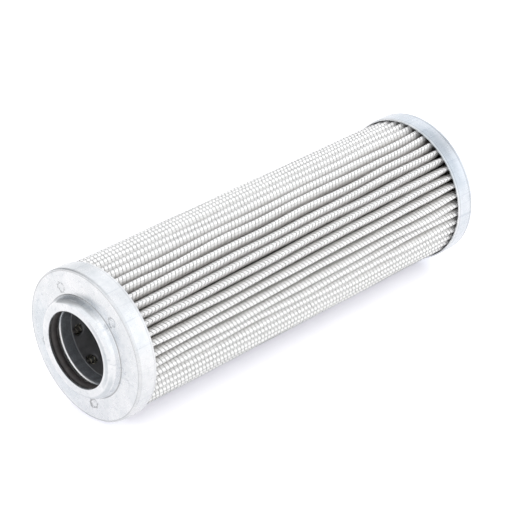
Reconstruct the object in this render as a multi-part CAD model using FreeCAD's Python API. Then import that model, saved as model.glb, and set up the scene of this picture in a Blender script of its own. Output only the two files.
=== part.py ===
import FreeCAD, Part
import math
import os

os.makedirs("parts", exist_ok=True)

# Pleated pressure-filter element, standing on its closed end.
# The axis is Z, the closed face lies at Z 0 and the raised collar is on top. Millimetres.

# End caps, pressed from sheet
CAP_OUTER_RADIUS = 26.0
CAP_SHEET = 1.0
SKIRT_SHEET = 0.6
CAP_DEPTH = 7.2
CAP_CORNER_RADIUS = 1.2
BODY_LENGTH = 155.0

# Bore for the spigot, and the seal in the raised collar round it
BORE_RADIUS = 13.0
LIP_CLEARANCE = 0.1
SEAL_SECTION = 3.53
SEAL_PROUD = 0.2
SEAL_SQUEEZE = 0.1
SEAL_HEADROOM = 0.17
COLLAR_CROWN_RADIUS = 2.4

# Flanged carrier under the collar, spot welded to the cap's face
CARRIER_SHEET = 0.5
CARRIER_ROUNDING = 1.2
SLEEVE_LENGTH = 5.0
FLANGE_GAP = 2.7
SPOT_RADIUS = 1.9
SPOT_FLAT_RADIUS = 1.3
SPOT_DEPTH = 0.25
SPOT_ANGLES_DEG = (-143.0, -82.0, -8.5, 69.5, 151.5)

# Perforated core tube
CORE_SHEET = 0.8
HOLE_RADIUS = 2.0
HOLE_EDGE_GAP = 0.8
HOLE_ROW_PITCH = 10.8
HOLES_PER_ROW = 8
HOLE_START_DEG = 20.5
HOLE_SIDES = 8

# Pleat pack: wire mesh, filter media and wire mesh, folded together
PLEAT_RIM_GAP = 0.12
MESH_THICKNESS = 0.28
MEDIA_THICKNESS = 0.42
TIP_INNER_RADIUS = 0.17
ROOT_OUTER_RADIUS = 0.05
LEG_CLEARANCE = 0.03
PLEAT_START_DEG = 3.1
OUTER_TIP_CORNERS = 4
PLAIN_FOLD_CORNERS = 2

# Potting that bonds each end of the pack to its cap
POTTING_DEPTH = 2.5

# Radii that follow from the values above
cap_inner_radius = CAP_OUTER_RADIUS - SKIRT_SHEET
lip_radius = BORE_RADIUS + LIP_CLEARANCE
seal_inner_radius = BORE_RADIUS - SEAL_PROUD
groove_radius = seal_inner_radius + SEAL_SECTION - SEAL_SQUEEZE
collar_outer_radius = groove_radius + CAP_SHEET
flange_radius = cap_inner_radius - FLANGE_GAP
spot_circle_radius = (collar_outer_radius + flange_radius) / 2
core_inner_radius = BORE_RADIUS + CARRIER_SHEET
core_outer_radius = core_inner_radius + CORE_SHEET
pleat_tip_radius = cap_inner_radius - PLEAT_RIM_GAP

# Heights that follow from the values above
closed_floor_z = CAP_SHEET
open_ceiling_z = BODY_LENGTH - CAP_SHEET
flange_bottom_z = open_ceiling_z - CARRIER_SHEET
sleeve_bottom_z = open_ceiling_z - SLEEVE_LENGTH
collar_underside_z = open_ceiling_z + SEAL_SECTION + SEAL_HEADROOM
collar_top_z = collar_underside_z + CAP_SHEET
pack_bottom_z = closed_floor_z + POTTING_DEPTH
pack_top_z = flange_bottom_z - POTTING_DEPTH


def point(radius, z):
    """A point of a section drawn in the XZ plane."""
    return FreeCAD.Vector(radius, 0, z)


def rounded_section(corners):
    """A closed section from (radius, z, rounding) corners; rounding 0 keeps a sharp corner."""
    edges = []
    ends = []
    for index, (radius, z, rounding) in enumerate(corners):
        corner = point(radius, z)
        before = point(*corners[index - 1][:2])
        after = point(*corners[(index + 1) % len(corners)][:2])
        to_before = (before - corner).normalize()
        to_after = (after - corner).normalize()
        if rounding == 0:
            ends.append((corner, corner))
            continue
        half_angle = to_before.getAngle(to_after) / 2
        setback = rounding / math.tan(half_angle)
        start = corner + to_before * setback
        end = corner + to_after * setback
        bisector = (to_before + to_after).normalize()
        middle = corner + bisector * (rounding / math.sin(half_angle) - rounding)
        edges.append(Part.Arc(start, middle, end).toShape())
        ends.append((start, end))
    for index, (start, _) in enumerate(ends):
        previous_end = ends[index - 1][1]
        if previous_end.distanceToPoint(start) > 1e-6:
            edges.append(Part.makeLine(previous_end, start))
    return Part.Face(Part.Wire(Part.__sortEdges__(edges)))


def turned(corners):
    """A solid of revolution about Z."""
    section = rounded_section(corners)
    return section.revolve(point(0, 0), FreeCAD.Vector(0, 0, 1), 360)


def ring(inner_radius, outer_radius, bottom_z, top_z):
    """A plain ring with square edges."""
    return turned([
        (inner_radius, bottom_z, 0),
        (outer_radius, bottom_z, 0),
        (outer_radius, top_z, 0),
        (inner_radius, top_z, 0),
    ])


def make_closed_end_cap():
    """A plain pressed cup that closes the lower end."""
    return turned([
        (0, 0, 0),
        (CAP_OUTER_RADIUS, 0, CAP_CORNER_RADIUS),
        (CAP_OUTER_RADIUS, CAP_DEPTH, 0),
        (cap_inner_radius, CAP_DEPTH, 0),
        (cap_inner_radius, closed_floor_z, 0),
        (0, closed_floor_z, 0),
    ])


def spot_mark(angle_deg):
    """The shallow dished mark that a spot weld leaves in the cap's face."""
    mark = Part.makeCone(SPOT_FLAT_RADIUS, SPOT_RADIUS, SPOT_DEPTH)
    mark.translate(FreeCAD.Vector(spot_circle_radius, 0, BODY_LENGTH - SPOT_DEPTH))
    mark.rotate(FreeCAD.Vector(0, 0, 0), FreeCAD.Vector(0, 0, 1), angle_deg)
    return mark


def make_open_end_cap():
    """A pressed cup whose face rises into a round collar over the seal."""
    cup = turned([
        (CAP_OUTER_RADIUS, BODY_LENGTH - CAP_DEPTH, 0),
        (CAP_OUTER_RADIUS, BODY_LENGTH, CAP_CORNER_RADIUS),
        (collar_outer_radius, BODY_LENGTH, 0),
        (collar_outer_radius, collar_top_z, COLLAR_CROWN_RADIUS),
        (lip_radius, collar_top_z, 0),
        (lip_radius, collar_underside_z, 0),
        (groove_radius, collar_underside_z, 0),
        (groove_radius, open_ceiling_z, 0),
        (cap_inner_radius, open_ceiling_z, 0),
        (cap_inner_radius, BODY_LENGTH - CAP_DEPTH, 0),
    ])
    return cup.cut(Part.makeCompound([spot_mark(angle) for angle in SPOT_ANGLES_DEG]))


def make_seal_carrier():
    """A flanged sleeve: the seal rests on its flange, and the spigot runs in its bore."""
    return turned([
        (flange_radius, flange_bottom_z, 0),
        (flange_radius, open_ceiling_z, 0),
        (BORE_RADIUS, open_ceiling_z, CARRIER_ROUNDING),
        (BORE_RADIUS, sleeve_bottom_z, 0),
        (core_inner_radius, sleeve_bottom_z, 0),
        (core_inner_radius, flange_bottom_z, 0),
    ])


def make_bore_seal():
    """A round-section ring, flattened a little where the collar squeezes it."""
    section_radius = SEAL_SECTION / 2
    free_ring = Part.makeTorus(
        seal_inner_radius + section_radius,
        section_radius,
        FreeCAD.Vector(0, 0, open_ceiling_z + section_radius),
    )
    groove = ring(0, groove_radius, open_ceiling_z, collar_underside_z)
    return free_ring.common(groove)


def hole_cutter(angle_deg, z):
    """A round punch, drawn with few sides, that passes one wall of the core tube."""
    turns = [2 * math.pi * (side + 0.5) / HOLE_SIDES for side in range(HOLE_SIDES)]
    rim = [
        FreeCAD.Vector(core_inner_radius / 2, HOLE_RADIUS * math.cos(turn), z + HOLE_RADIUS * math.sin(turn))
        for turn in turns
    ]
    punch = Part.Face(Part.makePolygon(rim + rim[:1])).extrude(FreeCAD.Vector(core_outer_radius, 0, 0))
    punch.rotate(FreeCAD.Vector(0, 0, 0), FreeCAD.Vector(0, 0, 1), angle_deg)
    return punch


def make_core_tube():
    """The perforated tube that carries the pleats against the pressure."""
    tube = ring(core_inner_radius, core_outer_radius, closed_floor_z, flange_bottom_z)
    top_row_z = sleeve_bottom_z - HOLE_EDGE_GAP - HOLE_RADIUS
    lowest_row_z = pack_bottom_z + HOLE_EDGE_GAP + HOLE_RADIUS
    row_count = int((top_row_z - lowest_row_z) / HOLE_ROW_PITCH) + 1
    hole_step_deg = 360 / HOLES_PER_ROW
    cutters = []
    for row in range(row_count):
        stagger_deg = hole_step_deg / 2 * (row % 2)
        for place in range(HOLES_PER_ROW):
            angle_deg = HOLE_START_DEG + stagger_deg + hole_step_deg * place
            cutters.append(hole_cutter(angle_deg, top_row_z - HOLE_ROW_PITCH * row))
    return tube.cut(Part.makeCompound(cutters))


class PleatProfile:
    """The zigzag that every layer follows: parallel offsets of one folded outline."""

    def __init__(self):
        self.pack_thickness = 2 * MESH_THICKNESS + MEDIA_THICKNESS
        self.tip_outer_radius = TIP_INNER_RADIUS + self.pack_thickness
        self.root_inner_radius = ROOT_OUTER_RADIUS + self.pack_thickness
        self.tip_centre_radius = pleat_tip_radius - self.tip_outer_radius
        self.root_centre_radius = core_outer_radius + self.root_inner_radius
        leg_space = (self.root_inner_radius + LEG_CLEARANCE) / self.root_centre_radius
        self.pleat_count = int(math.pi / math.asin(leg_space))
        self.half_pitch = math.pi / self.pleat_count
        across = self.root_centre_radius * math.sin(self.half_pitch)
        inward = self.root_centre_radius * math.cos(self.half_pitch) - self.tip_centre_radius
        fold_sum = self.tip_outer_radius + ROOT_OUTER_RADIUS
        self.leg_normal = math.atan2(across, inward) - math.acos(fold_sum / math.hypot(across, inward))

    def fold(self, centre_radius, centre_angle, fold_radius, facing, half_turn, corner_count):
        """The corners of one fold: a round bend drawn as flats tangent to its circle."""
        centre = FreeCAD.Vector(
            centre_radius * math.cos(centre_angle), centre_radius * math.sin(centre_angle), 0)
        step = 2 * half_turn / corner_count
        reach = fold_radius / math.cos(step / 2)
        corners = []
        for index in range(corner_count):
            direction = facing - half_turn + step * (index + 0.5)
            corners.append(centre + FreeCAD.Vector(reach * math.cos(direction), reach * math.sin(direction), 0))
        return corners

    def outline(self, depth, tip_corners):
        """The closed zigzag at a depth below the outer face of the pack."""
        corners = []
        for index in range(self.pleat_count):
            tip_angle = math.radians(PLEAT_START_DEG) + 2 * self.half_pitch * index
            root_angle = tip_angle + self.half_pitch
            corners += self.fold(
                self.tip_centre_radius, tip_angle, self.tip_outer_radius - depth,
                tip_angle, self.leg_normal, tip_corners)
            corners += self.fold(
                self.root_centre_radius, root_angle, ROOT_OUTER_RADIUS + depth,
                root_angle + math.pi, self.half_pitch - self.leg_normal, PLAIN_FOLD_CORNERS)
        return Part.makePolygon(corners + corners[:1])

    def layer(self, outer_depth, thickness, outer_tip_corners, inner_tip_corners):
        """One folded sheet of the pack, between two parallel zigzags."""
        outer = self.outline(outer_depth, outer_tip_corners)
        inner = self.outline(outer_depth + thickness, inner_tip_corners)
        sheet = Part.Face([outer, inner]).extrude(FreeCAD.Vector(0, 0, pack_top_z - pack_bottom_z))
        sheet.translate(FreeCAD.Vector(0, 0, pack_bottom_z))
        return sheet


def make_closed_end_potting():
    """The ring of resin between the closed cap and the lower end of the pack."""
    return ring(core_outer_radius, cap_inner_radius, closed_floor_z, pack_bottom_z)


def make_open_end_potting():
    """The ring of resin at the upper end, which also fills round the carrier's flange."""
    return turned([
        (core_outer_radius, pack_top_z, 0),
        (cap_inner_radius, pack_top_z, 0),
        (cap_inner_radius, open_ceiling_z, 0),
        (flange_radius, open_ceiling_z, 0),
        (flange_radius, flange_bottom_z, 0),
        (core_outer_radius, flange_bottom_z, 0),
    ])


pleats = PleatProfile()
media_depth = MESH_THICKNESS
inner_mesh_depth = MESH_THICKNESS + MEDIA_THICKNESS

nodes = {
    "closed_end_cap": make_closed_end_cap(),
    "open_end_cap": make_open_end_cap(),
    "seal_carrier": make_seal_carrier(),
    "bore_seal": make_bore_seal(),
    "core_tube": make_core_tube(),
    "outer_mesh": pleats.layer(0, MESH_THICKNESS, OUTER_TIP_CORNERS, OUTER_TIP_CORNERS),
    "filter_media": pleats.layer(media_depth, MEDIA_THICKNESS, OUTER_TIP_CORNERS, PLAIN_FOLD_CORNERS),
    "inner_mesh": pleats.layer(inner_mesh_depth, MESH_THICKNESS, PLAIN_FOLD_CORNERS, PLAIN_FOLD_CORNERS),
    "closed_end_potting": make_closed_end_potting(),
    "open_end_potting": make_open_end_potting(),
}

for name, shape in nodes.items():
    shape.exportStep("parts/" + name + ".step")
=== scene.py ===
import bmesh
import bpy
import math
from mathutils import Euler, Matrix, Vector, noise


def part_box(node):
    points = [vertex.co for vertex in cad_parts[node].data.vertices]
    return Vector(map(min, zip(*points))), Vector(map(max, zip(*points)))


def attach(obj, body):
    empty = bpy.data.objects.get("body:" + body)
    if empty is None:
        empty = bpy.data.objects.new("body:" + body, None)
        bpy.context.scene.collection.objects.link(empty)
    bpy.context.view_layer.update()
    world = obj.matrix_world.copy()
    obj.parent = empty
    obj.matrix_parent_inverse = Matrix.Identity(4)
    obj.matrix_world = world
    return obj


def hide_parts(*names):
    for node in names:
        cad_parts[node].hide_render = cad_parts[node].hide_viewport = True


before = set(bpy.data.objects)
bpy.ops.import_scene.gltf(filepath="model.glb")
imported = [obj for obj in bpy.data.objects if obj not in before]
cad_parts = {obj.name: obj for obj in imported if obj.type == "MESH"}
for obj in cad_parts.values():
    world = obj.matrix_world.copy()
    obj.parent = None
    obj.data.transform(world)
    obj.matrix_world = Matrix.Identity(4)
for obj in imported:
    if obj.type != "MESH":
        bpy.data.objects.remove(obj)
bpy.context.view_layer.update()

MM = 0.001
UP = Vector((0, 0, 1))
WHITE = (1.0, 1.0, 1.0)

# Camera, from the photograph's view of the two caps
CAMERA_PLACE = Vector((0.0, -0.59482, 0.53437))
CAMERA_AIM = Vector((0.00215, 0.0, 0.07891))
CAMERA_ROLL_DEG = -116.1
LENS = 159.0
SENSOR_WIDTH = 36.0

# The table in the photograph touches both caps on this side
TABLE_UP = Vector((0.7765, -0.6301, 0.0))
TABLE_SIZE = 3.0
TABLE_COLOUR = (0.88, 0.88, 0.87)
# What the camera and bright metal see of it: a colour that takes the shadow, and a glow
TABLE_SEEN = ((0.89, 0.885, 0.875), (0.33, 0.33, 0.385))
TABLE_MIRRORED = ((0.31, 0.30, 0.255), (0.735, 0.735, 0.79))

# The room: its level, its colour where bright metal mirrors it, and the sides that are darker
# or brighter there: direction, closeness from which it starts and ends, and level at its middle
ROOM_LEVEL = (1.02, 1.02, 1.03)
ROOM_MIRRORED = (1.06, 1.075, 1.09)
ROOM_SIDES = (
    ((0.890, 0.440, 0.100), 0.71, 0.94, 0.40),
    ((0.839, -0.541, 0.064), 0.87, 0.97, 0.70),
    ((0.381, -0.484, -0.788), 0.92, 0.99, 0.60),
    ((0.0, -0.96, -0.28), 0.35, 0.80, 1.12),
    ((0.960, 0.240, -0.140), 0.975, 0.995, 1.6),
)

# Soft lamps over the table: place, size and power
RIGHT_LAMP = ((0.05, -0.80, -0.40), 1.3, 5.3)
BACK_LAMP = ((0.86, 0.16, -0.05), 0.45, 1.4)

# Sizes that the dressed pieces share with the frame
cap_low, cap_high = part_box("open_end_cap")
closed_low, closed_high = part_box("closed_end_cap")
carrier_low, carrier_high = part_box("seal_carrier")
seal_low, seal_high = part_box("bore_seal")
core_low, core_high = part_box("core_tube")
pack_low, pack_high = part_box("outer_mesh")

# End caps
CAP_SHEET = 1.0 * MM
SKIRT_SHEET = 0.6 * MM
SKIRT_INSET = 0.40 * MM
SKIRT_BEND_HEIGHT = 1.0 * MM
CAP_DEPTH = closed_high.z - closed_low.z
CAP_RADIUS = cap_high.x
CAP_CORNER_RADIUS = 0.7 * MM
FACE_Z = cap_low.z + CAP_DEPTH
COLLAR_TOP_Z = cap_high.z
COLLAR_RADIUS = 17.23 * MM
COLLAR_DRAFT = 0.6 * MM
CROWN_RADIUS = 2.4 * MM
LIP_RADIUS = 13.1 * MM
CAP_SEGMENTS = 448
CAP_STEP = 0.42 * MM
CLOSED_CAP_SEGMENTS = 320
CLOSED_CAP_STEP = 2.0 * MM
MIDDLE = FACE_Z / 2 * UP

# Bore
BORE_RADIUS = 13.0 * MM
BORE_SEGMENTS = 256
CARRIER_SHEET = 0.5 * MM
CARRIER_STEP = 0.8 * MM
SEAL_INNER_RADIUS = 12.8 * MM
SEAL_STEPS = 36

# Small round weld marks on the face. The reach of a mark, and its rim's place and width,
# are shares of its radius.
SPOT_ANGLES_DEG = (-143.0, -82.0, -8.5, 69.5, 151.5)
SPOT_SHADES = (0.95, 0.70, 0.70, 0.76, 0.56)
SPOT_CIRCLE_RADIUS = 19.97 * MM
SPOT_RADIUS = 1.9 * MM
SPOT_REACH = 1.6
SPOT_DEPTH = 0.16 * MM
SPOT_UNEVENNESS = 0.5
SPOT_GRAIN = 1.2 * MM
SPOT_RIM_HEIGHT = 0.07 * MM
SPOT_RIM_PLACE = 1.1
SPOT_RIM_WIDTH = 0.14
SPOT_RING_RADIUS = 1.55 * MM
SPOT_RING_WIDTH = 0.30 * MM
SPOT_SKIN_START = SPOT_RING_RADIUS + 0.3 * MM
SPOT_SKIN_FULL = SPOT_RING_RADIUS - 0.2 * MM
SPOT_WAVER = 2.2 * MM
FACE_SKIN = 0.2 * MM

# Thin lines of painted shade round the caps, where they are bent: radius, height, width and shade
CAP_CREASE_SHADE = (
    (CAP_RADIUS - CAP_CORNER_RADIUS, FACE_Z, 0.26 * MM, 0.72),
    (CAP_RADIUS, FACE_Z - CAP_CORNER_RADIUS, 0.30 * MM, 0.88),
    (CAP_RADIUS - 0.2 * MM, FACE_Z - 0.2 * MM, 0.55 * MM, 0.90),
    (CAP_RADIUS, cap_low.z + SKIRT_BEND_HEIGHT, 0.26 * MM, 0.86),
    (CAP_RADIUS, CAP_DEPTH - 0.8 * MM, 0.30 * MM, 0.82),
    (CAP_RADIUS, 1.25 * MM, 0.30 * MM, 0.72),
    (COLLAR_RADIUS + 0.28 * MM, FACE_Z + 0.14 * MM, 0.28 * MM, 0.50),
)

# Soft grey bands of painted shade on the caps, for the darker sides they mirror: radius, height,
# reach in the section, angle, half its spread and shade
CAP_SHADE_BANDS = (
    (CAP_RADIUS, CAP_DEPTH - 0.6 * MM, 4.6 * MM, -78.0, 34.0, 0.80),
    (COLLAR_RADIUS - 0.6 * MM, FACE_Z + 1.4 * MM, 1.6 * MM, -6.0, 58.0, 0.55),
    (COLLAR_RADIUS - 1.1 * MM, COLLAR_TOP_Z - 0.8 * MM, 1.0 * MM, 160.0, 75.0, 0.80),
    (LIP_RADIUS + 1.6 * MM, COLLAR_TOP_Z, 0.85 * MM, -110.0, 54.0, 0.76),
    (21.5 * MM, FACE_Z, 4.2 * MM, 80.0, 60.0, 0.90),
)
# Share of its reach up to which a band has its full shade
BAND_CORE = 0.45
# Darker, bluer painted shade on the closed cap for its dimmer reflections, and how far below its rim
# it starts and is full
CLOSED_CAP_SHADE = (0.875, 0.905, 0.945)
CLOSED_SHADE_START = 0.25 * MM
CLOSED_SHADE_FULL = 0.7 * MM

# Core tube and its holes; a ring of points round a hole is a tube radius, the share of the
# hole's radius that it lies at, 0 for the border of the hole's field, and how far it stands out
CORE_SHEET = 0.8 * MM
CORE_OUTER_RADIUS = core_high.x
CORE_INNER_RADIUS = CORE_OUTER_RADIUS - CORE_SHEET
HOLE_RADIUS = 2.0 * MM
HOLES_PER_ROW = 8
HOLE_ROWS = 13
HOLE_ROW_PITCH = 10.8 * MM
HOLE_START_DEG = 20.5
TOP_HOLE_Z = carrier_low.z - 2.8 * MM
CORE_STEPS_PER_HOLE = 8
CORE_SIDE_STEPS = 4
CORE_MERGE_DISTANCE = 0.01 * MM
CORE_HOLE_RINGS = (
    (CORE_OUTER_RADIUS, 0, 0),
    (CORE_OUTER_RADIUS, 1.3, 0),
    (CORE_OUTER_RADIUS, 1.0, 0.1 * MM),
    (CORE_INNER_RADIUS, 1.0, 0.25 * MM),
    (CORE_INNER_RADIUS, 1.15, 0.05 * MM),
    (CORE_INNER_RADIUS, 1.35, 0),
    (CORE_INNER_RADIUS, 0, 0),
)

# Pleats. They sway to the side, lean as they do, stand in or out, twist along the pack,
# and are narrower where the resin holds them, up to PLEAT_HELD_LENGTH from each end.
PACK_RADIUS = pack_high.x
PLEAT_COUNT = 45
PLEAT_ROOT_RADIUS = 0.05 * MM
PLEAT_ROOT_CENTRE = CORE_OUTER_RADIUS + 1.03 * MM
PLEAT_START_DEG = -84.9
PLEAT_TWIST_DEG_PER_MM = -0.038
PLEAT_SWAY_DEG = 1.8
PLEAT_SWAY_LENGTH = 23 * MM
PLEAT_WHOLE_SWAY = 0.6
PLEAT_LEAN = 4
PLEAT_PUSH = 0.18 * MM
PLEAT_PUSH_LENGTH = 20 * MM
PLEAT_PUSH_MIDDLE = 0.25
PLEAT_PINCH = 0.28
PLEAT_HELD_LENGTH = 12 * MM
PLEAT_LEG_STEPS = 1
# One side of a fold: how far out from its middle, and how deep below its crest
FOLD_SIDE_MM = ((0.0, 0.0), (0.27, 0.10), (0.53, 0.42), (0.84, 1.05), (1.18, 1.9), (1.47, 2.9))
SHADED_DEPTH = 3.0 * MM

# Layers of the pack: depth below its outer face, thickness and levels; and the outer wires
MEDIA_DEPTH = 0.13 * MM
MEDIA_THICKNESS = 0.42 * MM
MEDIA_LEVELS = 44
INNER_MESH_DEPTH = 0.60 * MM
INNER_MESH_THICKNESS = 0.25 * MM
INNER_MESH_LEVELS = 24
FOLD_SMOOTH_DEG = 80
WIRE_RADIUS = 0.10 * MM
WIRE_PITCH = 1.526 * MM
WIRE_STRAY = 0.16 * MM
WIRE_STRAY_LENGTH = 1.6 * MM
WIRE_STRAY_ALONG = 3
WIRE_SIDES = 3
WIRE_SMOOTH_DEG = 130
HOOP_PIECES = 4
AXIAL_WIRE_RADIUS = 0.05 * MM
AXIAL_WIRE_LEVELS = 36


def new_object(name, verts, faces, material, smooth_deg=40):
    """A mesh object that rides with the part."""
    mesh = bpy.data.meshes.new(name)
    mesh.from_pydata(verts, [], faces)
    mesh.validate()
    mesh.polygons.foreach_set("use_smooth", [True] * len(mesh.polygons))
    mesh.set_sharp_from_angle(angle=math.radians(smooth_deg))
    mesh.materials.append(material)
    obj = bpy.data.objects.new(name, mesh)
    bpy.context.scene.collection.objects.link(obj)
    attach(obj, "root")
    return obj


def direction(angle):
    """The flat unit vector at an angle round the part's axis."""
    return Vector((math.cos(angle), math.sin(angle)))


def rounded_loop(corners, arc_steps=10):
    """A closed (radius, z) outline from (radius, z, rounding) corners."""
    loop = []
    for index, (radius, z, rounding) in enumerate(corners):
        corner = Vector((radius, z))
        if rounding == 0:
            loop.append(corner)
            continue
        to_before = (Vector(corners[index - 1][:2]) - corner).normalized()
        to_after = (Vector(corners[(index + 1) % len(corners)][:2]) - corner).normalized()
        half = to_before.angle(to_after) / 2
        setback = rounding / math.tan(half)
        centre = corner + (to_before + to_after).normalized() * rounding / math.sin(half)
        start = corner + to_before * setback - centre
        sweep = (corner + to_after * setback - centre).angle_signed(start)
        for step in range(arc_steps + 1):
            turned = start.copy()
            turned.rotate(Matrix.Rotation(sweep * step / arc_steps, 2))
            loop.append(centre + turned)
    return loop


def divided(loop, longest):
    """The loop with its long stretches divided."""
    points = []
    for index, point in enumerate(loop):
        following = loop[(index + 1) % len(loop)]
        count = max(1, math.ceil((following - point).length / longest))
        points += [point.lerp(following, step / count) for step in range(count)]
    return points


def quads(rows, count, closed):
    """Faces between closed rows of count points; the last row meets the first one if closed."""
    faces = []
    for row in range(rows if closed else rows - 1):
        here, there = row * count, (row + 1) % rows * count
        for index in range(count):
            after = (index + 1) % count
            faces.append((here + index, here + after, there + after, there + index))
    return faces


def lathe(loop, segments, shift=None):
    """Vertices and faces of a closed outline turned about Z; shift moves each point a little."""
    verts = []
    for segment in range(segments):
        angle = 2 * math.pi * segment / segments
        for point in loop:
            place = Vector((point.x * math.cos(angle), point.x * math.sin(angle), point.y))
            verts.append(shift(place) if shift else place)
    return verts, [(a, d, c, b) for a, b, c, d in quads(segments, len(loop), True)]


# Materials


class Tree:
    """A short way to write a node tree."""

    def __init__(self, tree):
        self.tree = tree

    def put(self, value, socket):
        """Links a socket to a node's output, or sets it to a number, vector or colour."""
        if isinstance(value, bpy.types.NodeSocket):
            self.tree.links.new(value, socket)
        elif socket.type == "RGBA":
            socket.default_value = (*value, 1)
        else:
            socket.default_value = value

    def add(self, kind, *inputs, **settings):
        """A node with its first inputs in order, and others, or its properties, by name."""
        node = self.tree.nodes.new(kind)
        for key, value in settings.items():
            if key in node.inputs:
                self.put(value, node.inputs[key])
            else:
                setattr(node, key, value)
        for value, socket in zip(inputs, node.inputs):
            self.put(value, socket)
        return node

    def calc(self, operation, *values):
        return self.add("ShaderNodeMath", *values, operation=operation).outputs[0]

    def vector_calc(self, operation, *vectors):
        node = self.add("ShaderNodeVectorMath", *vectors, operation=operation)
        gives_number = operation in ("DISTANCE", "DOT_PRODUCT", "LENGTH")
        return node.outputs["Value" if gives_number else "Vector"]

    def scaled(self, value, start, end, low=0.0, high=1.0):
        """Low where the value is at its start or before, and high at its end or past it."""
        return self.add("ShaderNodeMapRange", value, start, end, low, high).outputs["Result"]

    def ramp(self, factor, stops):
        """A colour ramp from (position, colour or grey level) stops."""
        node = self.add("ShaderNodeValToRGB", factor)
        elements = node.color_ramp.elements
        while len(elements) < len(stops):
            elements.new(0.5)
        for element, (position, colour) in zip(elements, stops):
            element.position = position
            element.color = (*(colour if isinstance(colour, tuple) else (colour,) * 3), 1)
        return node.outputs["Color"]

    def mixed(self, factor, one, other, blend_type="MIX"):
        node = self.add("ShaderNodeMix", factor, data_type="RGBA", blend_type=blend_type)
        self.put(one, node.inputs[6])
        self.put(other, node.inputs[7])
        return node.outputs[2]

    def multiplied(self, product, *colours):
        for colour in colours:
            product = self.mixed(1.0, product, colour, "MULTIPLY")
        return product

    def rays(self):
        """Whether bright metal or glass sees a point, and whether the camera does."""
        path = self.add("ShaderNodeLightPath").outputs
        mirrored = self.calc("MAXIMUM", path["Is Glossy Ray"], path["Is Transmission Ray"])
        return mirrored, path["Is Camera Ray"]


class Material(Tree):
    """A material's node tree, with the measures of a point that the materials share."""

    def __init__(self, name):
        self.material = bpy.data.materials.new(name)
        self.material.use_nodes = True
        super().__init__(self.material.node_tree)
        self.shader = self.tree.nodes["Principled BSDF"]

    def finished(self, sockets):
        """Puts values into the shader's own sockets, and gives the material."""
        for name, value in sockets.items():
            self.put(value, self.shader.inputs[name])
        return self.material

    def place(self):
        return self.add("ShaderNodeTexCoord").outputs["Object"]

    def off_axis(self):
        """The flat vector from the part's axis."""
        return self.vector_calc("MULTIPLY", self.place(), (1, 1, 0))

    def radius(self):
        """Distance from the part's axis."""
        return self.vector_calc("LENGTH", self.off_axis())

    def height(self):
        return self.add("ShaderNodeSeparateXYZ", self.place()).outputs["Z"]

    def section(self):
        """The radius and height of a point, as one vector."""
        return self.add("ShaderNodeCombineXYZ", self.radius(), self.height()).outputs["Vector"]

    def facing(self, angle_deg, spread_deg):
        """1 on the side of the part at an angle, and 0 past a spread on each side."""
        outward = self.vector_calc("NORMALIZE", self.off_axis())
        towards = (*direction(math.radians(angle_deg)), 0)
        edge = math.cos(math.radians(spread_deg))
        return self.scaled(self.vector_calc("DOT_PRODUCT", outward, towards), edge, (1 + edge) / 2)

    def near(self, value, number, width, dark):
        """White, but dark where the value is within the width of the number."""
        away = self.calc("ABSOLUTE", self.calc("SUBTRACT", value, number))
        return self.ramp(self.calc("DIVIDE", away, width), [(0.3, dark), (1.0, 1)])

    def away_from_wire(self):
        """0 at each hoop wire's height and 1 half way between two."""
        above = self.calc("SUBTRACT", self.height(), pack_low.z)
        turn = self.calc("FRACT", self.calc("DIVIDE", above, WIRE_PITCH))
        return self.calc("MULTIPLY", self.calc("ABSOLUTE", self.calc("SUBTRACT", turn, 0.5)), 2.0)

    def deep(self):
        """How far below the pleats' crests a point lies: 1 is the shaded depth."""
        return self.calc("DIVIDE", self.calc("SUBTRACT", self.radius(), PACK_RADIUS), -SHADED_DEPTH)

    def noise(self, scale, detail=4.0, stretch=(1, 1, 1), roughness=0.55):
        place = self.add("ShaderNodeMapping", Vector=self.place(), Scale=stretch).outputs["Vector"]
        texture = self.add(
            "ShaderNodeTexNoise", Vector=place, Scale=scale, Detail=detail, Roughness=roughness)
        return texture.outputs["Fac"]

    def bump(self, height, strength, distance, normal=None):
        node = self.add("ShaderNodeBump", Height=height, Strength=strength, Distance=distance)
        if normal:
            self.put(normal, node.inputs["Normal"])
        return node.outputs["Normal"]


def spot_centre(angle_deg):
    """The flat place of a weld mark on the face."""
    return direction(math.radians(angle_deg)) * SPOT_CIRCLE_RADIUS


def cap_shade(n):
    """Painted shade on the caps: dark lines where a cap is bent, soft grey bands for darker
    reflections, and a darker tint on the closed cap.
    """
    section = n.section()
    shades = []
    for radius, z, width, dark in CAP_CREASE_SHADE:
        away = n.vector_calc("DISTANCE", section, (radius, z, 0))
        shades.append(n.near(away, 0.0, width, dark))
    for radius, z, reach, angle_deg, spread_deg, dark in CAP_SHADE_BANDS:
        away = n.vector_calc("DISTANCE", section, (radius, z, 0))
        close = n.scaled(away, reach, BAND_CORE * reach)
        part = n.calc("MULTIPLY", close, n.facing(angle_deg, spread_deg))
        shades.append(n.mixed(part, WHITE, (dark, dark * 1.03, dark * 1.05)))
    closed = n.scaled(n.height(), CAP_DEPTH - CLOSED_SHADE_START, CAP_DEPTH - CLOSED_SHADE_FULL)
    shades.append(n.mixed(closed, WHITE, CLOSED_CAP_SHADE))
    return n.multiplied(*shades)


def weld_marks(n):
    """A thin wavering ring at the edge of each weld mark, and the rough skin inside it."""
    rings, rough = [], None
    for angle_deg, dark in zip(SPOT_ANGLES_DEG, SPOT_SHADES):
        away = n.vector_calc("DISTANCE", n.place(), (*spot_centre(angle_deg), FACE_Z))
        centred = n.calc("SUBTRACT", away, SPOT_WAVER / 2)
        away = n.calc("MULTIPLY_ADD", n.noise(1100.0, 2.0), SPOT_WAVER, centred)
        rings.append(n.near(away, SPOT_RING_RADIUS, SPOT_RING_WIDTH, dark))
        skin = n.scaled(away, SPOT_SKIN_START, SPOT_SKIN_FULL, 0.0, 1.0 - dark)
        rough = n.calc("MAXIMUM", rough, skin) if rough else skin
    return n.multiplied(*rings), rough


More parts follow.
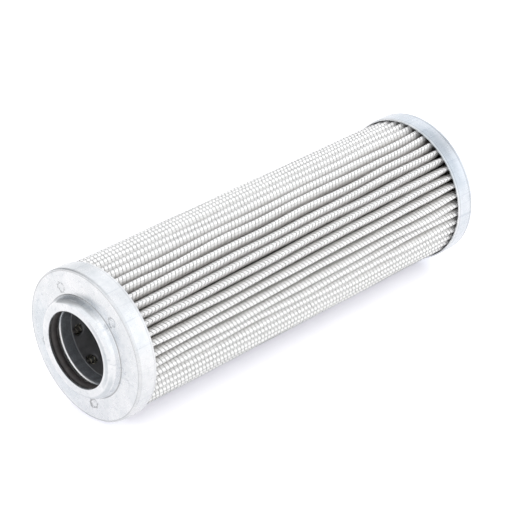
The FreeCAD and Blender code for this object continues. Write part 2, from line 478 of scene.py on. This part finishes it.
def zinc_material():
    """Bright zinc plating: faintly blue and cloudy, with fine rubbed scratches, and painted shade in
    its creases and in soft bands.
    """
    n = Material("zinc_plating")
    scratches = (1, 1, 0.03)
    clouds = n.ramp(n.noise(160.0, 4.0), [
        (0.38, (0.795, 0.815, 0.84)), (0.62, (0.875, 0.885, 0.905))])
    blotches = n.ramp(n.noise(520.0, 3.0, roughness=0.6), [(0.36, (0.955, 0.96, 0.965)), (0.60, 1)])
    rubbed = n.ramp(n.noise(900.0, 2.0, scratches), [(0.32, (0.88, 0.892, 0.91)), (0.42, 1)])
    rings, rough_marks = weld_marks(n)
    satin = n.ramp(n.noise(400.0, 3.0), [(0.3, 0.24), (0.7, 0.33)])
    above_face = n.calc("DIVIDE", n.calc("SUBTRACT", n.height(), FACE_Z), 1.0 * MM)
    smoother_collar = n.ramp(above_face, [(0.1, 1), (0.6, 0.5)])
    fine = n.bump(n.noise(900.0, 3.0), 0.05, 0.0001)
    scratched = n.bump(n.noise(900.0, 2.0, scratches), 0.08, 0.0001, fine)
    pitted = n.calc("MULTIPLY", n.noise(1500.0, 2.0), rough_marks)
    return n.finished({
        "Base Color": n.multiplied(clouds, blotches, rubbed, cap_shade(n), rings),
        "Metallic": 0.92,
        "Roughness": n.multiplied(satin, smoother_collar),
        "Normal": n.bump(pitted, 1.0, 0.0009, scratched),
    })


def sheet_material(name, colour, metallic, roughness, painted_light=False):
    """Drawn or rolled sheet; on the seal carrier, a painted highlight along the rounded top edge,
    strongest on one side, painted shade on one side of the bore, and a dull grey band, not metallic,
    at its lower end.
    """
    n = Material(name)
    shade = n.ramp(n.noise(500.0, 4.0), [(0.35, tuple(c * 0.75 for c in colour)), (0.65, colour)])
    shine = metallic
    if painted_light:
        height = n.scaled(n.height(), carrier_low.z, carrier_high.z)
        lower = n.ramp(height, [(0.07, 1), (0.095, 0)])
        upper = n.ramp(height, [(0.79, 0), (0.92, 1)])
        # Painted highlight on the rounded top edge, strongest on one side of the bore
        highlight_side = n.calc("ADD", n.calc("MULTIPLY", n.facing(98.0, 62.0), 0.92), 0.08)
        # Painted shade on one side of the bore
        shade = n.multiplied(shade, n.mixed(n.facing(115.0, 120.0), (0.45, 0.45, 0.45), WHITE))
        shade = n.mixed(lower, shade, (0.42, 0.43, 0.44))
        shade = n.mixed(n.calc("MULTIPLY", upper, highlight_side), shade, (0.90, 0.90, 0.90))
        shine = n.calc("MULTIPLY", n.calc("SUBTRACT", lower, 1.0), -metallic)
    return n.finished({
        "Base Color": shade,
        "Metallic": shine,
        "Roughness": roughness,
        "Normal": n.bump(n.noise(500.0, 2.0, stretch=(0.1, 0.1, 1)), 0.08, 0.0001),
    })


def rubber_material():
    """Black seal rubber with a soft sheen and a little dust."""
    n = Material("seal_rubber")
    return n.finished({
        "Base Color": n.ramp(n.noise(600.0, 3.0), [
            (0.4, (0.038, 0.034, 0.034)), (0.8, (0.075, 0.064, 0.062))]),
        "Roughness": 0.48,
        "Normal": n.bump(n.noise(2500.0, 2.0), 0.15, 0.00005),
    })


def media_material():
    """White fibrous fleece, swollen between the wires; with painted shade beside the wires, a little
    less on the crests, and painted shade deeper in the folds.
    """
    n = Material("filter_fleece")
    fibres = n.noise(1800.0, 6.0, stretch=(1, 1, 0.35))
    away = n.away_from_wire()
    deep = n.deep()
    pale = n.ramp(fibres, [(0.3, (0.89, 0.89, 0.888)), (0.6, 0.965)])
    # Painted shade beside each hoop wire
    wire_shade = n.ramp(away, [(0.06, (0.22, 0.219, 0.215)), (0.19, 1)])
    lines = n.mixed(n.scaled(deep, 0.03, 0.18, 0.90, 1.0), WHITE, wire_shade)
    # Painted shade that deepens down the folds
    shade = n.ramp(deep, [
        (0.38, 1), (0.55, (0.81, 0.806, 0.80)),
        (0.75, (0.62, 0.612, 0.598)), (1.0, (0.50, 0.485, 0.465))])
    swollen = n.bump(n.ramp(away, [(0.0, 0), (0.35, 0.7), (1.0, 1)]), 0.7, 0.0002)
    return n.finished({
        "Base Color": n.multiplied(pale, lines, shade),
        "Roughness": 0.85,
        "Specular IOR Level": 0.3,
        "Normal": n.bump(fibres, 0.3, 0.0001, swollen),
    })


def wire_material():
    """Woven steel wire, with painted shade and light: greyer on the crests, where light goes round
    it, than in the folds.
    """
    n = Material("mesh_wire")
    uneven = n.ramp(n.noise(700.0, 3.0), [(0.35, 0.8), (0.7, 1)])
    shade = n.ramp(n.deep(), [
        (0.12, (0.52, 0.52, 0.525)), (0.28, (0.50, 0.497, 0.49)),
        (0.50, (0.74, 0.735, 0.725)), (1.0, (0.84, 0.825, 0.80))])
    return n.finished({
        "Base Color": n.multiplied(uneven, shade),
        "Metallic": 0.6,
        "Roughness": 0.38,
        "Normal": n.bump(n.noise(3000.0, 2.0), 0.1, 0.00005),
    })


def inner_mesh_material():
    """Woven wire drawn by colour and bump: dark cells between paler hoops."""
    n = Material("inner_wire")
    away = n.away_from_wire()
    hoops = n.ramp(away, [(0.15, (0.90, 0.86, 0.72)), (0.4, (0.24, 0.23, 0.21))])
    patches = n.ramp(n.noise(900.0, 2.0), [(0.4, 0.45), (0.6, 1)])
    return n.finished({
        "Base Color": n.multiplied(hoops, patches),
        "Metallic": 0.3,
        "Roughness": 0.5,
        "Normal": n.bump(away, 0.5, 0.0002),
    })


def resin_material():
    """Dark cured resin with a wavy skin."""
    n = Material("potting_resin")
    return n.finished({
        "Base Color": n.ramp(n.noise(300.0, 4.0), [
            (0.3, (0.03, 0.028, 0.025)), (0.7, (0.07, 0.065, 0.06))]),
        "Roughness": 0.5,
        "Normal": n.bump(n.noise(400.0, 3.0), 0.4, 0.0003),
    })


zinc = zinc_material()
carrier_steel = sheet_material("carrier_steel", (0.60, 0.64, 0.69), 0.78, 0.27, True)
core_steel = sheet_material("core_steel", (0.24, 0.24, 0.25), 0.35, 0.45)
rubber = rubber_material()
fleece = media_material()
wire = wire_material()
inner_wire = inner_mesh_material()
resin = resin_material()


# End caps


def spot_shift(place):
    """Presses the weld marks into the face and raises a faint rim round each."""
    if place.z < FACE_Z - FACE_SKIN:
        return place
    for angle_deg in SPOT_ANGLES_DEG:
        away = (place.xy - spot_centre(angle_deg)).length / SPOT_RADIUS
        if away < SPOT_REACH:
            uneven = 1 + SPOT_UNEVENNESS * noise.noise(place / SPOT_GRAIN)
            dish = -SPOT_DEPTH * max(0.0, 1 - away ** 4) * uneven
            rim = SPOT_RIM_HEIGHT * math.exp(-((away - SPOT_RIM_PLACE) / SPOT_RIM_WIDTH) ** 2)
            return place + UP * (dish + rim)
    return place


def make_open_end_cap():
    """The pressed cup with its collar, lip and weld marks."""
    loop = rounded_loop([
        (CAP_RADIUS - SKIRT_INSET, cap_low.z, 0.15 * MM),
        (CAP_RADIUS, cap_low.z + SKIRT_BEND_HEIGHT, 0.3 * MM),
        (CAP_RADIUS, FACE_Z, CAP_CORNER_RADIUS),
        (COLLAR_RADIUS + 0.15 * MM, FACE_Z, 0.5 * MM),
        (COLLAR_RADIUS - COLLAR_DRAFT, COLLAR_TOP_Z, CROWN_RADIUS),
        (LIP_RADIUS, COLLAR_TOP_Z, 0.35 * MM),
        (LIP_RADIUS, COLLAR_TOP_Z - CAP_SHEET, 0.15 * MM),
        (COLLAR_RADIUS - CAP_SHEET, COLLAR_TOP_Z - CAP_SHEET, 1.4 * MM),
        (COLLAR_RADIUS - CAP_SHEET, FACE_Z - CAP_SHEET, 0),
        (CAP_RADIUS - SKIRT_SHEET, FACE_Z - CAP_SHEET, 0),
        (CAP_RADIUS - SKIRT_SHEET, cap_low.z, 0.05 * MM),
    ])
    verts, faces = lathe(divided(loop, CAP_STEP), CAP_SEGMENTS, spot_shift)
    obj = new_object("open_cap_dressed", verts, faces, zinc)
    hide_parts("open_end_cap")


def make_closed_end_cap():
    """The plain pressed cup at the far end."""
    loop = rounded_loop([
        (0.0, 0.0, 0),
        (CAP_RADIUS, 0.0, CAP_CORNER_RADIUS),
        (CAP_RADIUS, CAP_DEPTH, 0.2 * MM),
        (CAP_RADIUS - SKIRT_SHEET, CAP_DEPTH, 0.15 * MM),
        (CAP_RADIUS - SKIRT_SHEET, CAP_SHEET, 0),
        (0.0, CAP_SHEET, 0),
    ], 6)
    verts, faces = lathe(divided(loop, CLOSED_CAP_STEP), CLOSED_CAP_SEGMENTS)
    obj = new_object("closed_cap_dressed", verts, faces, zinc)
    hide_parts("closed_end_cap")


# Bore: carrier, seal and core


def make_carrier():
    """The flanged sleeve below the seal."""
    loop = rounded_loop([
        (carrier_high.x, carrier_high.z - CARRIER_SHEET, 0),
        (carrier_high.x, carrier_high.z, 0),
        (BORE_RADIUS, carrier_high.z, 0.8 * MM),
        (BORE_RADIUS, carrier_low.z, 0.12 * MM),
        (BORE_RADIUS + CARRIER_SHEET, carrier_low.z, 0.12 * MM),
        (BORE_RADIUS + CARRIER_SHEET, carrier_high.z - CARRIER_SHEET, 0),
    ], 12)
    verts, faces = lathe(divided(loop, CARRIER_STEP), BORE_SEGMENTS)
    obj = new_object("carrier_dressed", verts, faces, carrier_steel)
    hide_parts("seal_carrier")


def make_seal():
    """The round-section ring, pressed flat against the collar's wall."""
    section = (seal_high.z - seal_low.z) / 2
    centre = Vector((SEAL_INNER_RADIUS + section, seal_low.z + section))
    outer = COLLAR_RADIUS - CAP_SHEET
    loop = []
    for step in range(SEAL_STEPS):
        point = centre + section * direction(2 * math.pi * step / SEAL_STEPS)
        loop.append(Vector((min(point.x, outer), point.y)))
    loop.reverse()
    verts, faces = lathe(loop, BORE_SEGMENTS)
    obj = new_object("seal_dressed", verts, faces, rubber, 60)
    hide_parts("bore_seal")


def make_core():
    """The perforated tube, each hole with the drawn-in edge of its punch."""
    step = 2 * math.pi / (HOLES_PER_ROW * CORE_STEPS_PER_HOLE)
    start = math.radians(HOLE_START_DEG) - math.pi / HOLES_PER_ROW
    mesh = bmesh.new()

    def vert(radius, angle, z):
        return mesh.verts.new((radius * math.cos(angle), radius * math.sin(angle), z))

    def band(one, other):
        for index in range(len(one)):
            after = (index + 1) % len(one)
            mesh.faces.new((one[index], one[after], other[after], other[index]))

    def plain(low_z, high_z):
        around = [start + step * index for index in range(HOLES_PER_ROW * CORE_STEPS_PER_HOLE)]
        rings = [[vert(radius, angle, z) for angle in around] for radius, z in (
            (CORE_OUTER_RADIUS, low_z), (CORE_OUTER_RADIUS, high_z),
            (CORE_INNER_RADIUS, high_z), (CORE_INNER_RADIUS, low_z))]
        for one, other in zip(rings, rings[1:] + rings[:1]):
            band(one, other)

    half_height = HOLE_ROW_PITCH / 2
    half_steps, side_steps = CORE_STEPS_PER_HOLE // 2, CORE_SIDE_STEPS
    border = [(index, -side_steps) for index in range(-half_steps, half_steps)]
    border += [(half_steps, index) for index in range(-side_steps, side_steps, 2)]
    border += [(index, side_steps) for index in range(half_steps, -half_steps, -1)]
    border += [(-half_steps, index) for index in range(side_steps, -side_steps, -2)]
    for row in range(HOLE_ROWS):
        z = TOP_HOLE_Z - HOLE_ROW_PITCH * row
        stagger = math.pi / HOLES_PER_ROW * (row % 2)
        for place in range(HOLES_PER_ROW):
            middle = math.radians(HOLE_START_DEG) + stagger + 2 * math.pi / HOLES_PER_ROW * place
            rings = []
            for radius, reach, dip in CORE_HOLE_RINGS:
                ring = []
                for across, up in border:
                    flat = Vector((across * step * CORE_OUTER_RADIUS, up / side_steps * half_height))
                    if reach:
                        flat = flat.normalized() * HOLE_RADIUS * reach
                    ring.append(vert(radius + dip, middle + flat.x / CORE_OUTER_RADIUS, z + flat.y))
                rings.append(ring)
            for one, other in zip(rings, rings[1:]):
                band(one, other)
    plain(core_low.z, TOP_HOLE_Z - HOLE_ROW_PITCH * (HOLE_ROWS - 0.5))
    plain(TOP_HOLE_Z + half_height, core_high.z)
    bmesh.ops.remove_doubles(mesh, verts=mesh.verts, dist=CORE_MERGE_DISTANCE)
    bmesh.ops.recalc_face_normals(mesh, faces=mesh.faces)
    mesh.verts.index_update()
    verts = [point.co.copy() for point in mesh.verts]
    faces = [[point.index for point in face.verts] for face in mesh.faces]
    mesh.free()
    obj = new_object("core_dressed", verts, faces, core_steel)
    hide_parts("core_tube")


make_open_end_cap()
make_closed_end_cap()
make_carrier()
make_seal()
make_core()


# Pleat pack


class Pleats:
    """The folded outline with the real pack's slight twist and waviness."""

    def __init__(self):
        self.half_pitch = math.pi / PLEAT_COUNT
        side = [Vector((deep, out)) * MM for out, deep in FOLD_SIDE_MM]
        self.fold = [Vector((point.x, -point.y)) for point in reversed(side[1:])] + side

    def sway(self, index, z):
        """How far a pleat's tip lies to one side at a height, in radians: partly as a whole."""
        along = noise.noise(Vector((index * 3.7, 0.5, z / PLEAT_SWAY_LENGTH)))
        whole = noise.noise(Vector((index * 1.7, 7.5, 0.3)))
        return math.radians(PLEAT_SWAY_DEG) * (along + PLEAT_WHOLE_SWAY * whole) * self.free(z)

    def push(self, index, z):
        """How far a pleat's tip stands in or out at a height."""
        place = Vector((index * 2.3, 9.5, z / PLEAT_PUSH_LENGTH))
        return PLEAT_PUSH * (noise.noise(place) - PLEAT_PUSH_MIDDLE) * self.free(z)

    def free(self, z):
        """Nought where the resin holds the pleats, and one between the caps."""
        edge = min(z - pack_low.z, pack_high.z - z) / PLEAT_HELD_LENGTH
        return max(0.0, min(1.0, edge)) ** 0.5

    def tip(self, crest_radius, angle, facing, width, depth, every):
        """Points over one fold, at a depth below its outer face; facing is where it leans."""
        inward = -direction(facing)
        across = Vector((inward.y, -inward.x))
        crest = direction(angle) * crest_radius
        points = []
        for index in range(0, len(self.fold), every):
            before = self.fold[max(index - 1, 0)]
            after = self.fold[min(index + 1, len(self.fold) - 1)]
            along = (after - before).normalized()
            point = self.fold[index] + depth * Vector((along.y, -along.x))
            points.append(crest + inward * point.x + across * width * point.y)
        return points

    def root(self, angle, fold_radius):
        """Points round one inner fold."""
        centre = direction(angle) * PLEAT_ROOT_CENTRE
        turns = [angle + math.pi + turn for turn in (math.pi / 2, 0.0, -math.pi / 2)]
        return [centre + fold_radius * direction(turn) for turn in turns]

    def outline(self, z, depth, every, leg_steps):
        """One turn round the pack at a height, at a depth below its outer face."""
        points = []
        middle = (pack_low.z + pack_high.z) / 2
        twist = math.radians(PLEAT_START_DEG + PLEAT_TWIST_DEG_PER_MM * (z - middle) / MM)
        width = 1 - PLEAT_PINCH * (1 - self.free(z))
        shares = [(step + 1) / (leg_steps + 1) for step in range(leg_steps)]
        tips = []
        for index in range(PLEAT_COUNT):
            angle = twist + 2 * self.half_pitch * index
            sway = self.sway(index, z)
            crest = PACK_RADIUS + self.push(index, z)
            tips.append(self.tip(crest, angle + sway, angle + PLEAT_LEAN * sway, width, depth, every))
        for index, tip in enumerate(tips):
            root_angle = twist + 2 * self.half_pitch * (index + 0.5)
            root = self.root(root_angle, PLEAT_ROOT_RADIUS + depth)
            end = tips[(index + 1) % PLEAT_COUNT][0]
            points += tip
            points += [tip[-1].lerp(root[0], share) for share in shares]
            points += root
            points += [root[-1].lerp(end, share) for share in shares]
        return [Vector((point.x, point.y, z)) for point in points]

    def rows(self, levels, depth, every):
        """Outlines at even heights from end to end."""
        length = pack_high.z - pack_low.z
        heights = [pack_low.z + length * level / levels for level in range(levels + 1)]
        return [self.outline(z, depth, every, PLEAT_LEG_STEPS) for z in heights]


pleats = Pleats()


def make_folded(name, depth, thickness, every, levels, material, node):
    """One layer of the pack at a depth below its outer face."""
    rows = pleats.rows(levels, depth, every)
    verts = [point for row in rows for point in row]
    faces = quads(len(rows), len(rows[0]), False)
    obj = new_object(name, verts, faces, material, FOLD_SMOOTH_DEG)
    solid = obj.modifiers.new("thickness", "SOLIDIFY")
    solid.thickness = thickness
    solid.offset = -1
    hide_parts(node)


def tube_along(path, radius, closed):
    """Vertices and faces of a thin wire along points."""
    verts = []
    total = len(path)
    for index, point in enumerate(path):
        before = path[index - 1] if closed or index > 0 else point
        after = path[(index + 1) % total] if closed or index < total - 1 else point
        along = (after - before).normalized()
        helper = UP if abs(along.z) < 0.7 else Vector((1, 0, 0))
        side = along.cross(helper).normalized()
        up = side.cross(along)
        for number in range(WIRE_SIDES):
            turn = 2 * math.pi * number / WIRE_SIDES
            verts.append(point + radius * (math.cos(turn) * side + math.sin(turn) * up))
    return verts, quads(total, WIRE_SIDES, closed)


def new_wires(name, tubes):
    """Several wires as one object."""
    verts, faces = [], []
    for tube_verts, tube_faces in tubes:
        base = len(verts)
        verts += tube_verts
        faces += [tuple(base + index for index in face) for face in tube_faces]
    return new_object(name, verts, faces, wire, WIRE_SMOOTH_DEG)


def wire_stray(point):
    """How far a hoop wire strays along the pack at a point."""
    place = Vector((point.x, point.y, WIRE_STRAY_ALONG * point.z))
    return WIRE_STRAY * noise.noise(place / WIRE_STRAY_LENGTH)


def make_hoop_wires():
    """Wires that run round the pack, following every fold."""
    count = int((pack_high.z - pack_low.z) / WIRE_PITCH)
    objects = []
    for piece in range(HOOP_PIECES):
        hoops = []
        for number in range(piece * count // HOOP_PIECES, (piece + 1) * count // HOOP_PIECES):
            outline = pleats.outline(pack_low.z + WIRE_PITCH * (number + 0.5), WIRE_RADIUS, 1, 0)
            path = [point + UP * wire_stray(point) for point in outline]
            hoops.append(tube_along(path, WIRE_RADIUS, True))
        objects.append(new_wires("hoop_wires_%d" % piece, hoops))
    return objects


def make_axial_wires():
    """Wires that run from cap to cap, side by side along the folds."""
    rows = pleats.rows(AXIAL_WIRE_LEVELS, 2 * AXIAL_WIRE_RADIUS, 2)
    new_wires("axial_wires", [tube_along(path, AXIAL_WIRE_RADIUS, False) for path in zip(*rows)])


make_folded(
    "media_folded", MEDIA_DEPTH, MEDIA_THICKNESS, 1, MEDIA_LEVELS,
    fleece, "filter_media")
make_folded(
    "inner_folded", INNER_MESH_DEPTH, INNER_MESH_THICKNESS, 2, INNER_MESH_LEVELS,
    inner_wire, "inner_mesh")
hoops = make_hoop_wires()
make_axial_wires()
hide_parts("outer_mesh")


# The nodes that stay: both potting rings

for node in ("closed_end_potting", "open_end_potting"):
    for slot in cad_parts[node].material_slots:
        slot.material = resin


# Stage, light and camera


def make_table():
    """A pale sheet under the lying part; it shows from its front only."""
    centre = MIDDLE - TABLE_UP * CAP_RADIUS
    side = TABLE_UP.cross(UP)
    half = TABLE_SIZE / 2
    corners = [centre + half * (a * side + b * UP) for a, b in ((-1, -1), (1, -1), (1, 1), (-1, 1))]
    mesh = bpy.data.meshes.new("table")
    mesh.from_pydata(corners, [], [(0, 1, 2, 3)])
    if mesh.polygons[0].normal.dot(TABLE_UP) < 0:
        mesh.flip_normals()
    n = Material("table_white")
    mirrored, seen = n.rays()
    front = n.shader.outputs["BSDF"]
    for rays, (colour, glow) in ((mirrored, TABLE_MIRRORED), (seen, TABLE_SEEN)):
        diffuse = n.add("ShaderNodeBsdfDiffuse", Color=colour).outputs["BSDF"]
        emission = n.add("ShaderNodeEmission", Color=glow, Strength=1.0).outputs["Emission"]
        look = n.add("ShaderNodeAddShader", diffuse, emission).outputs["Shader"]
        front = n.add("ShaderNodeMixShader", rays, front, look).outputs["Shader"]
    behind = n.add("ShaderNodeNewGeometry").outputs["Backfacing"]
    clear = n.add("ShaderNodeBsdfTransparent").outputs["BSDF"]
    sheet = n.add("ShaderNodeMixShader", behind, front, clear).outputs["Shader"]
    n.put(sheet, n.tree.nodes["Material Output"].inputs["Surface"])
    mesh.materials.append(n.finished({
        "Base Color": TABLE_COLOUR,
        "Roughness": 0.9,
        "Specular IOR Level": 0.1,
    }))
    table = bpy.data.objects.new("table", mesh)
    bpy.context.scene.collection.objects.link(table)


def make_world():
    """An even pale room, white to the camera; bright metal finds its darker and brighter sides."""
    world = bpy.data.worlds.new("studio")
    bpy.context.scene.world = world
    world.use_nodes = True
    n = Tree(world.node_tree)
    place = n.add("ShaderNodeTexCoord").outputs["Generated"]
    level = 1.0
    for towards, start, end, middle in ROOM_SIDES:
        side = n.scaled(n.vector_calc("DOT_PRODUCT", place, towards), start, end, 1.0, middle)
        level = n.calc("MULTIPLY", level, side)
    shown = n.add("ShaderNodeVectorMath", ROOM_MIRRORED, operation="SCALE", Scale=level)
    mirrored, seen = n.rays()
    room = n.mixed(seen, n.mixed(mirrored, ROOM_LEVEL, shown.outputs["Vector"]), WHITE)
    n.put(room, n.tree.nodes["Background"].inputs["Color"])


def make_lamp(name, place, size, power):
    """A round lamp that faces the part and isn't mirrored in it."""
    data = bpy.data.lights.new(name, "AREA")
    data.shape = "DISK"
    data.size = size
    data.energy = power
    lamp = bpy.data.objects.new(name, data)
    lamp.visible_glossy = False
    bpy.context.scene.collection.objects.link(lamp)
    lamp.location = place
    lamp.rotation_euler = (MIDDLE - Vector(place)).to_track_quat("-Z", "Y").to_euler()


def make_camera():
    """The photograph's view."""
    data = bpy.data.cameras.new("camera")
    data.lens = LENS
    data.sensor_width = SENSOR_WIDTH
    camera = bpy.data.objects.new("camera", data)
    bpy.context.scene.collection.objects.link(camera)
    look = (CAMERA_AIM - CAMERA_PLACE).to_track_quat("-Z", "Y")
    roll = Euler((0, 0, math.radians(CAMERA_ROLL_DEG))).to_quaternion()
    camera.location = CAMERA_PLACE
    camera.rotation_euler = (look @ roll).to_euler()
    bpy.context.scene.camera = camera


make_table()
make_world()
make_lamp("right", *RIGHT_LAMP)
make_lamp("back", *BACK_LAMP)
make_camera()
bpy.context.scene.view_settings.view_transform = "Standard"
